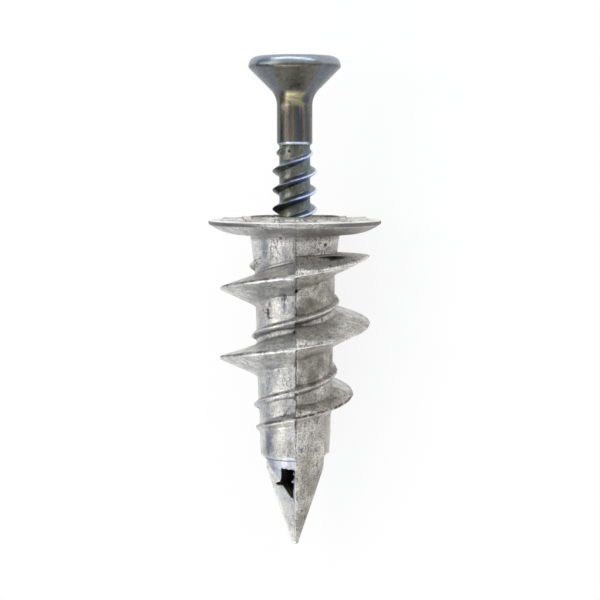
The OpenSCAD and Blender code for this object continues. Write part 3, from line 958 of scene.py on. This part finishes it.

# smears and flecks that the die left in the skin, and painted shade in the hollow at the blade's upper end
black, blue, brown = (0.05, 0.045, 0.045), (0.20, 0.21, 0.29), (0.16, 0.145, 0.12)
skin_colour = blots(place, skin_colour, [
    ((-2.65, -2.9, -8.9), (0.13, 0.8, 0.6), 0.9, black),
    ((-2.45, -3.0, -9.4), (0.22, 0.8, 0.12), 0.8, black),
    ((-1.05, -3.8, -8.2), (0.13, 0.8, 0.8), 0.75, blue),
    ((-0.95, -3.8, -7.6), (0.25, 0.8, 0.2), 0.6, blue),
    ((-2.95, -3.2, -2.7), (0.4, 0.9, 0.9), 0.6, blue),
    ((-1.0, -4.2, -3.1), (0.35, 0.9, 0.7), 0.35, blue),
    ((-2.7, -2.4, -21.8), (0.28, 0.9, 1.0), 0.6, blue),
    ((-0.6, -3.5, -22.0), (0.3, 0.8, 0.9), 0.4, brown),
    ((1.65, -3.5, -7.9), (0.75, 1.0, 0.5), 0.55, brown),
    ((2.6, -2.9, -7.2), (0.5, 1.0, 0.4), 0.4, brown),
    ((1.6, -3.4, -15.2), (0.6, 1.0, 0.7), 0.5, brown),
    ((2.0, -3.0, -21.0), (0.8, 1.0, 0.5), 0.35, brown),
    ((1.4, -2.9, -25.6), (1.0, 1.0, 0.5), 0.4, brown),
    ((-0.12, -4.2, -2.6), (0.16, 0.9, 1.0), 0.6, brown),
    ((-0.1, -3.9, -8.6), (0.14, 0.9, 1.4), 0.45, brown),
    ((0.1, -3.6, -15.8), (0.14, 0.9, 1.2), 0.4, brown),
    ((0.05, -3.5, -19.3), (0.14, 0.9, 0.8), 0.6, black),
    ((-4.0, -5.6, -7.0), (1.0, 1.0, 0.25), 0.35, brown),
    # a brown stain and painted black shade in the hollow at the blade's upper end
    ((3.85, -3.9, -3.56), (0.95, 1.6, 0.17), 0.85, brown),
    ((3.6, -3.9, -3.68), (0.5, 1.6, 0.09), 0.95, black),
], 0.35)

# the parting line, dark and broken, with a painted highlight along the lip on its right
above_boss = sums("GREATER_THAN", z, -core_l)
seam_w = ramp(noise(place, 0.7, 4.0, 0.65, shift=21.0), 0.40, 0.62, 0.03, 0.15)
seam = times(sums("LESS_THAN", sums("ABSOLUTE", from_seam), seam_w), above_boss,
             ramp(z, -1.7, -1.4, 1.0, 0.4),
             ramp(noise(place, 0.9, 3.0, shift=91.0), 0.42, 0.52, 0.35, 1.0))
seam_lip_highlight = times(sums("GREATER_THAN", from_seam, seam_w),
                 sums("LESS_THAN", from_seam, sums("ADD", seam_w, 0.10)),
                 ramp(clouds, 0.46, 0.56, 0.0, 0.5), ramp(z, -6.0, -5.0, 1.0, 0.1), above_boss)

# painted shade in the creases, less of it towards the tip, and in the roots and blow holes
crease_shade = sums("ADD", layer(tree, "crease"), ramp(clouds, 0.3, 0.7, -0.12, 0.12))
crease_shade = times(ramp(crease_shade, 0.18, 0.6, 0, 0.75), ramp(depth, 18.5, 19.5, 1.0, 0.3),
             ramp(valley, 0, 1, 1.0, 0.4), ramp(blade_end_painted_light, 0, 1, 1.0, 0.3),
             ramp(times(right_half, ramp(depth, 12.5, 14.5)), 0, 1, 1.0, 0.45))
nook_shade_mottled = times(layer(tree, "nook_shade"), ramp(noise(place, 0.5, 4.0, shift=33.0), 0.35, 0.55, 0.3, 1.0))
skin_colour = laid(
    skin_colour,
    (seam, 0.75, (0.10, 0.09, 0.08)),
    (seam_lip_highlight, 1, (0.95, 0.94, 0.92)),
    (crease_shade, 1, (0.17, 0.155, 0.14)),
    (nook_shade_mottled, 0.8, (0.10, 0.085, 0.07)),
)

# the blade's crest: a painted highlight along its lower half, and a brown line on its upper half on
# the left and on the last turn
crest_depth = sums("SUBTRACT", depth, on_blade_helix["Off"])
past_full = sums("MAXIMUM", sums("SUBTRACT", crest_depth, blade_full_l), 0.0)
taper = times(past_full, math.tan(blade_taper))
tapered = sums("MINIMUM", sums("DIVIDE", taper, blade_r - (core_top_r + core_end_r) / 2), 1.0)
bow = times(tapered, sums("SUBTRACT", 1.0, tapered), 4 * blade_bow)
off_crest = sums("SUBTRACT", on_blade_helix["Off"], bow)
below_crest = sums("SUBTRACT", sums("SUBTRACT", blade_r, taper), radius)
on_blade = times(sums("GREATER_THAN", depth, blade_top_l + 0.1),
                 sums("LESS_THAN", depth, core_l - 1.5), sums("GREATER_THAN", radius, 4.15))
uneven = noise(place, 0.6, 4.0, shift=17.0)
crest_highlight = times(line_at(off_crest, 0.07, 0.05, 0.06), ramp(below_crest, 0.2, 0.12), on_blade,
                    ramp(uneven, 0.38, 0.54, 0.12, 0.9), ramp(to_right, 4.5, 0.5, 0.3, 1.0),
                    ramp(to_right, -6.6, -4.0, 0.25, 1.0), ramp(taper, 0.9, 2.4, 1.0, 0.15))
crest_soot = times(line_at(off_crest, -0.13, 0.07, 0.09), ramp(below_crest, 0.55, 0.2),
                   on_blade, ramp(uneven, 0.64, 0.40, 0.3, 1.0),
                   ramp(to_right, 0.0, -3.0, 0.1, 1.0), ramp(y, -1.0, 2.5, 1.0, 0.2))
last_turn_soot = times(line_at(off_crest, -0.08, 0.11, 0.05), ramp(taper, 1.1, 1.9),
                       ramp(radius, 3.58, 3.68), sums("LESS_THAN", depth, core_l - 1.0),
                       ramp(uneven, 0.56, 0.46, 0.3, 1.0))

# the low ridge: a painted highlight on its top, a thin dark line above it on the left, and painted shade
# under it on the right
on_ridge = times(sums("LESS_THAN", on_ridge_helix["Turns"], ridge_turns_up),
                 sums("GREATER_THAN", on_ridge_helix["Turns"], -ridge_turns_down),
                 sums("LESS_THAN", radius, 4.55))
ridge_highlight = times(line_at(below_ridge, -0.05, 0.03, 0.06), on_ridge,
                    ramp(uneven, 0.36, 0.5, 0.2, 1.0), ramp(to_right, -1.0, 1.0, 0.45, 0.5))
beside_ridge = sums("SUBTRACT", below_ridge, ramp(to_right, -0.2, 0.2, -0.24, 0.42))
ridge_line_and_shade = times(line_at(beside_ridge, 0.0, 0.04, 0.05), on_ridge,
                   ramp(uneven, 0.55, 0.45, 0.2, 0.9), ramp(to_right, -0.2, 0.2, 1.0, 0.5))

# painted shade on the flange's rim, darkest at the sides; a painted bright reflection on the face under
# the boss; painted shade in the bore; and the core's sides beside the plates, dull and pale
rim_shade = times(ramp(radius, flange_r - 0.2, flange_r - 0.12), ramp(depth, 0.08, 0.13),
            ramp(depth, rim_t + 0.18, rim_t + 0.08), ramp(aside, 1.8, 4.2, 0.15, 1.0))
boss_reflection_mask = layer(tree, "boss_reflection")
# painted bright reflection on the face under the boss, pale blue in clouds
boss_reflection_colour = tint(ramp(clouds, 0.40, 0.60), (0.27, 0.29, 0.38), (0.66, 0.68, 0.75))
boss_face_line = line_at(depth, core_l + 0.22, 0.02, 0.05)
boss_reflection_colour = laid(boss_reflection_colour, (boss_face_line, 1, (0.10, 0.10, 0.11)))
# painted shade in the bore, less deep near its floor
bore_shade_colour = tint(ramp(depth, bore_cone_l + 0.6, bore_point_l - 0.3),
                   (0.012, 0.012, 0.012), (0.12, 0.105, 0.06))
chalky = times(ramp(aside, spade_w, 3.1), ramp(depth, spade_top_l, spade_top_l + 0.5),
               ramp(depth, core_l + 0.25, core_l + 0.1), ramp(grain, 0.62, 0.45, 0.5, 1.0),
               ramp(y, -0.6, 0.3, 0.5, 1.0), ramp(radius, core_end_r + 0.3, core_end_r + 0.1, 0.3, 1.0))
skin_colour = laid(
    skin_colour,
    (sums("MAXIMUM", crest_soot, last_turn_soot), 0.92, (0.09, 0.07, 0.055)),
    (crest_highlight, 1, (0.98, 0.98, 0.97)),
    (ridge_line_and_shade, 1, (0.12, 0.10, 0.085)),
    (ridge_highlight, 1, (0.97, 0.97, 0.96)),
    (rim_shade, 0.92, (0.15, 0.15, 0.155)),
    (boss_reflection_mask, 0.9, boss_reflection_colour),
    (layer(tree, "bore_shade"), 1, bore_shade_colour),
    (chalky, 0.8, (0.86, 0.83, 0.76)),
)

dullness = sums("ADD", ramp(grain, 0.3, 0.7, 0.32, 0.48), times(right_half, 0.10))
dullness = sums("ADD", dullness, times(boss_reflection_mask, 0.12))
height = sums("ADD", times(grain, 0.5), times(clouds, 0.8))
for pitted, pit_depth in ((specks, 0.8), (die_marks, 0.6), (seam, 0.8)):
    height = sums("SUBTRACT", height, times(pitted, pit_depth))
unmetallic = sums("MAXIMUM", chalky, times(top_face, 0.75))
finish(anchor, zinc, 0.6, 0.00004, height=height, base_color=skin_colour, roughness=dullness,
       metallic=ramp(unmetallic, 0, 1, 1.0, 0.35))
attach(anchor, "root")
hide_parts("anchor_body")


# The screw: headed and thread-rolled steel
# One piece of plated steel: a countersunk head with a rounded land and a cross recess, a plain
# shank, and a thread of two starts rolled out of the wire. It is driven part of the way down the
# anchor's bore, where its thread has cut its own groove.

screw_l = 35
head_r = 4.5
head_edge_t = 1.1
head_round = 0.9
head_crown = 0.008
head_cone = math.radians(45)
head_fillet = 2.2
shank_r = 1.74
shank_l = 8.45
thread_core_r = 1.52
thread_land = 0.08
run_in_l = 2.7
run_in_end_l = 0.75
point_l = 4.6
point_bare_l = 0.35
point_r = 0.12
point_thread_h = 0.25
recess_r = 2.45
recess_foot_r = 0.93
recess_half_w = 0.5225
recess_foot_half_w = 0.361
recess_l = 2.5
around = 144
rib_steps = 60

# the turned outline, as radii and depths: the head's land, its cone and fillet, the shank, the
# thread's core and the point
cone_end_r = shank_r + head_fillet * (1 - math.cos(head_cone))
cone_l = (head_r - cone_end_r) / math.tan(head_cone)
fillet_l = head_edge_t + cone_l + head_fillet * math.sin(head_cone)
turned = [(head_r - head_round + head_round * math.sin(a), head_round * (1 - math.cos(a)) + head_crown)
          for a in np.linspace(0, math.pi / 2, 10)]
turned += [(head_r, head_edge_t - 0.03), (head_r - 0.02, head_edge_t + 0.02)]
turned += [(head_r - (head_r - cone_end_r) * t, head_edge_t + cone_l * t) for t in (0.1, 0.35, 0.6, 0.85)]
turned += [(shank_r + head_fillet * (1 - math.cos(a)), fillet_l - head_fillet * math.sin(a))
           for a in np.linspace(head_cone, 0, 14)]
turned += [(shank_r, shank_l - 0.06), (shank_r - 0.03, shank_l)]
turned += [(thread_core_r, shank_l + shank_r - thread_core_r), (thread_core_r, screw_l - point_l)]
turned += [(point_r, screw_l - 0.05)]


def closed(name, points, faces):
    """A closed form, with all its faces turned outwards."""
    mesh = bpy.data.meshes.new(name)
    mesh.from_pydata(points, [], faces)
    form = bmesh.new()
    form.from_mesh(mesh)
    bmesh.ops.recalc_face_normals(form, faces=form.faces)
    form.to_mesh(mesh)
    form.free()
    return placed(name, mesh)


def screw_piece(name, corners, faces):
    """A part of the screw's form, with corners as (radius, depth, angle in turns) from its head's top."""
    points = [(r * math.sin(2 * math.pi * t), -r * math.cos(2 * math.pi * t), screw_out - d)
              for r, d, t in corners]
    return closed(name, points, faces)


corners = [(r, d, i / around) for r, d in turned for i in range(around)]
corners += [(0, 0, 0), (0, screw_l, 0)]
last = (len(turned) - 1) * around
faces = []
for i in range(around):
    j = (i + 1) % around
    faces += [(k + i, k + j, k + around + j, k + around + i) for k in range(0, last, around)]
    faces += [(j, i, len(corners) - 2), (last + i, last + j, len(corners) - 1)]
screw = screw_piece("screw_steel", corners, faces)

# the thread: one rolled rib for each start, sunk into the core, with a fillet at its foot, which
# runs in over the shank's end and fades out at the point
crest_depths = [thread_start - run_in_l, thread_start - run_in_end_l,
                screw_l - point_l, screw_l - point_bare_l]
point_core_r = thread_core_r + (point_r - thread_core_r) * (point_l - point_bare_l) / point_l
crest_radii = [thread_core_r - 0.05, thread_r, thread_r, point_core_r + point_thread_h]
thread_l = crest_depths[-1] - crest_depths[0]
steps = math.ceil(thread_l / thread_lead * rib_steps)
flank = math.tan(thread_flank)
half_land = thread_land / 2
ribs = []
for start in range(thread_starts):
    corners, faces = [], []
    for k in range(steps + 1):
        d = crest_depths[-1] + (crest_depths[0] - crest_depths[-1]) * k / steps
        crest = float(np.interp(d, crest_depths, crest_radii))
        foot = float(np.interp(d, [screw_l - point_l, screw_l], [thread_core_r, point_r])) - 0.02
        foot = min(foot, crest - 0.12)
        tall = crest - foot
        outline = [(foot - 0.12, half_land + tall * flank + 0.1),
                   (foot + 0.01, half_land + tall * flank + 0.1),
                   (foot + 0.06, half_land + (tall - 0.06) * flank + 0.02),
                   (foot + 0.14, half_land + (tall - 0.14) * flank),
                   (crest - 0.05, half_land + 0.05 * flank), (crest, half_land - 0.015)]
        outline += [(r, -a) for r, a in outline[::-1]]
        t = thread_start_turn + (thread_start - d) / thread_lead + start / thread_starts
        corners += [(r, d + a, t) for r, a in outline]
    m = len(outline)
    for k in range(steps):
        for j in range(m):
            a, b = k * m + j, k * m + (j + 1) % m
            faces.append((a, b, b + m, a + m))
    faces += [tuple(range(m))[::-1], tuple(steps * m + j for j in range(m))]
    ribs.append(screw_piece(f"thread_start_{start + 1}", corners, faces))

# the cross recess: two tapered wings sunk into the head, each cut from a little above it
over_head = 0.5
over_r = recess_r + (recess_r - recess_foot_r) * over_head / recess_l
box_faces = [(0, 1, 2, 3), (4, 5, 6, 7), (0, 1, 5, 4), (1, 2, 6, 5), (2, 3, 7, 6), (3, 0, 4, 7)]
wings = []
for crosswise in (False, True):
    points = []
    for r, w, h in ((over_r, recess_half_w, screw_out + over_head),
                    (recess_foot_r, recess_foot_half_w, screw_out - recess_l)):
        for sx, sy in ((-1, -1), (1, -1), (1, 1), (-1, 1)):
            points.append((sx * w, sy * r, h) if crosswise else (sx * r, sy * w, h))
    wings.append(closed("recess_wing", points, box_faces))

for part, operation in [(rib, "UNION") for rib in ribs] + [(wing, "DIFFERENCE") for wing in wings]:
    joint = screw.modifiers.new(part.name, "BOOLEAN")
    joint.object = part
    joint.operation = operation
    joint.solver = "MANIFOLD"
mesh = apply_modifiers(screw)
for part in ribs + wings:
    bpy.data.objects.remove(part)
mesh.set_sharp_from_angle(angle=math.radians(32))
keep_upright(mesh)
mesh.transform(lay_down)

steel, tree = material("plated_steel")
place = layer(tree, "upright", "Vector")
x, y, z = node(tree, "ShaderNodeSeparateXYZ", {"Vector": place}).outputs
aside = sums("ABSOLUTE", x)
streaks = noise(place, 0.42, 3.0, 0.6, (1, 1, 0.05), 2.0)
turning = noise(place, 0.10, 3.0, 0.6, (0.1, 0.1, 1), 5.0)
mottling = put(mottle, place, Patch_Size=0.8, Cloud_Size=0.4, Grain_Size=0.09, Speck_Size=0.16)
patches, clouds, grain, specks = mottling
first_turn = thread_start - screw_out + thread_start_turn * thread_lead
on_thread_helix = put(helix, place, Start=first_turn, Lead=thread_lead, Starts=thread_starts)
off_rib, radius = on_thread_helix["Off"], on_thread_helix["Radius"]

# the plating: navy and tan in streaks along the shank, olive on the head's cone with a painted blue-grey
# reflection at its sides, and a painted golden highlight on the lathe-marked rings below it, in the middle
shank_end = screw_out - shank_l
on_thread = sums("LESS_THAN", z, shank_end)
on_head = ramp(z, 12.0, 12.6)
clouded = ramp(clouds, 0.4, 0.6)
olive = tint(clouded, (0.135, 0.130, 0.111), (0.168, 0.163, 0.142))
# painted blue-grey reflection for the sides of the head's cone
blue_grey_side_reflection = tint(clouded, (0.125, 0.138, 0.160), (0.165, 0.180, 0.205))
sidewards = sums("ADD", sums("DIVIDE", aside, radius),
                 ramp(noise(place, 0.9, 3.0, shift=9.0), 0.3, 0.7, -0.10, 0.10))
streaked = ramp(noise(place, 0.5, 3.0, 0.6, (1, 1, 0.1), 12.0), 0.52, 0.66, 0, 0.4)
browned = times(ramp(x, -1.0, -0.7), ramp(x, 0.3, 0.0), ramp(z, 11.4, 10.8),
                ramp(streaks, 0.62, 0.5, 0.2, 0.65))
ring_highlight = times(ramp(z, 10.9, 11.3), ramp(z, 12.5, 12.2), ramp(aside, 1.2, 0.8),
              ramp(turning, 0.40, 0.56, 0.35, 0.9))
plate = tint(ramp(streaks, 0.44, 0.58), (0.085, 0.092, 0.118), (0.21, 0.19, 0.14))
plate = laid(
    plate,
    (ramp(turning, 0.45, 0.7, 0, 0.35), 1, (0.09, 0.088, 0.07)),
    (on_head, 1, tint(ramp(sidewards, 0.58, 0.48), blue_grey_side_reflection, olive)),
    (times(on_head, streaked), 1, (0.08, 0.08, 0.07)),
    (browned, 1, (0.155, 0.13, 0.095)),
    (ring_highlight, 1, (0.44, 0.39, 0.23)),
)

# the thread's core, grey-green with brown stains and a painted blue reflection on the right; its rolled
# flanks, with a painted steel-blue reflection towards the right and a painted blue reflection line below
# each crest
stained = times(ramp(noise(place, 0.45, 4.0, 0.7, shift=121.0), 0.45, 0.58), ramp(x, 0.9, 0.2))
core_colour = tint(ramp(clouds, 0.42, 0.6), (0.112, 0.124, 0.114), (0.20, 0.218, 0.215))
core_colour = laid(
    core_colour,
    (ramp(streaks, 0.5, 0.6, 0, 0.7), 1, (0.17, 0.19, 0.20)),
    (stained, 0.7, (0.175, 0.158, 0.105)),
    # painted blue reflection on the core's right edge
    (ramp(x, 0.8, 1.4, 0, 0.6), 1, (0.13, 0.18, 0.24)),
)
on_flank = times(ramp(radius, thread_core_r + 0.05, thread_core_r + 0.14), on_thread)
rightwards = ramp(x, -0.8, 0.8)
lower_flank_reflection = tint(rightwards, (0.22, 0.235, 0.23), (0.13, 0.21, 0.45))
flank_colour = tint(ramp(off_rib, -0.02, 0.02), (0.27, 0.30, 0.33), lower_flank_reflection)
flank_colour = laid(flank_colour, (ramp(clouds, 0.45, 0.62, 0, 0.6), 1, (0.13, 0.14, 0.13)))
blue_reflection_line = times(line_at(off_rib, 0.09, 0.06, 0.06), on_flank, rightwards)

# painted highlights on the crests towards the right and on the shank's lower edge, and a lighter land
# round the top of the head; then black specks and scratches
thread_crest_highlight = times(line_at(off_rib, -0.07, 0.04, 0.05), on_flank, ramp(x, -0.8, 0.6))
shank_edge_highlight = times(ramp(z, shank_end + 0.16, shank_end + 0.08),
                   ramp(z, shank_end - 0.14, shank_end - 0.06), ramp(aside, 1.5, 0.9))
land = times(ramp(z, screw_out - 0.95, screw_out - 0.75), ramp(clouds, 0.3, 0.7, 0.75, 1.0))
cleaner = ramp(sums("MAXIMUM", land, on_head), 0, 1, 0.9, 0.35)
scratches = times(ramp(grain, 0.56, 0.62), on_thread, ramp(x, 0.6, -0.6, 0.35, 0.9))
plate = laid(
    plate,
    (on_thread, 1, core_colour),
    (on_flank, 1, flank_colour),
    (blue_reflection_line, 1, (0.06, 0.15, 0.70)),
    (sums("MAXIMUM", thread_crest_highlight, shank_edge_highlight), 1, (0.78, 0.86, 1.0)),
    (land, 1, (0.32, 0.36, 0.41)),
    (times(specks, cleaner), 1, (0.03, 0.028, 0.02)),
    (scratches, 1, (0.035, 0.035, 0.03)),
)
plate = blots(place, plate, [
    ((1.05, -1.5, 11.7), (0.42, 1.2, 0.5), 0.7, (0.035, 0.06, 0.115)),
    ((-0.55, -1.4, 6.7), (0.16, 0.8, 0.13), 0.95, (0.01, 0.01, 0.01)),
    ((-1.45, -0.9, 6.5), (0.16, 0.9, 0.13), 0.95, (0.01, 0.01, 0.01)),
    ((-0.3, -1.5, 3.2), (0.5, 0.8, 0.3), 0.5, (0.05, 0.045, 0.03)),
], 0.15)

dullness = sums("ADD", ramp(patches, 0.35, 0.7, 0.20, 0.34), times(on_head, 0.04))
dullness = sums("ADD", dullness, times(on_thread, 0.08))
height = sums("ADD", times(turning, 0.7), times(clouds, 0.6))
# the painted highlights and the blue reflection line are less metallic
finish(screw, steel, 0.35, 0.00002, height=height, base_color=plate, roughness=dullness,
       metallic=ramp(sums("MAXIMUM", thread_crest_highlight, blue_reflection_line), 0, 1, 1.0, 0.45))
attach(screw, "root")
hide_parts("screw")
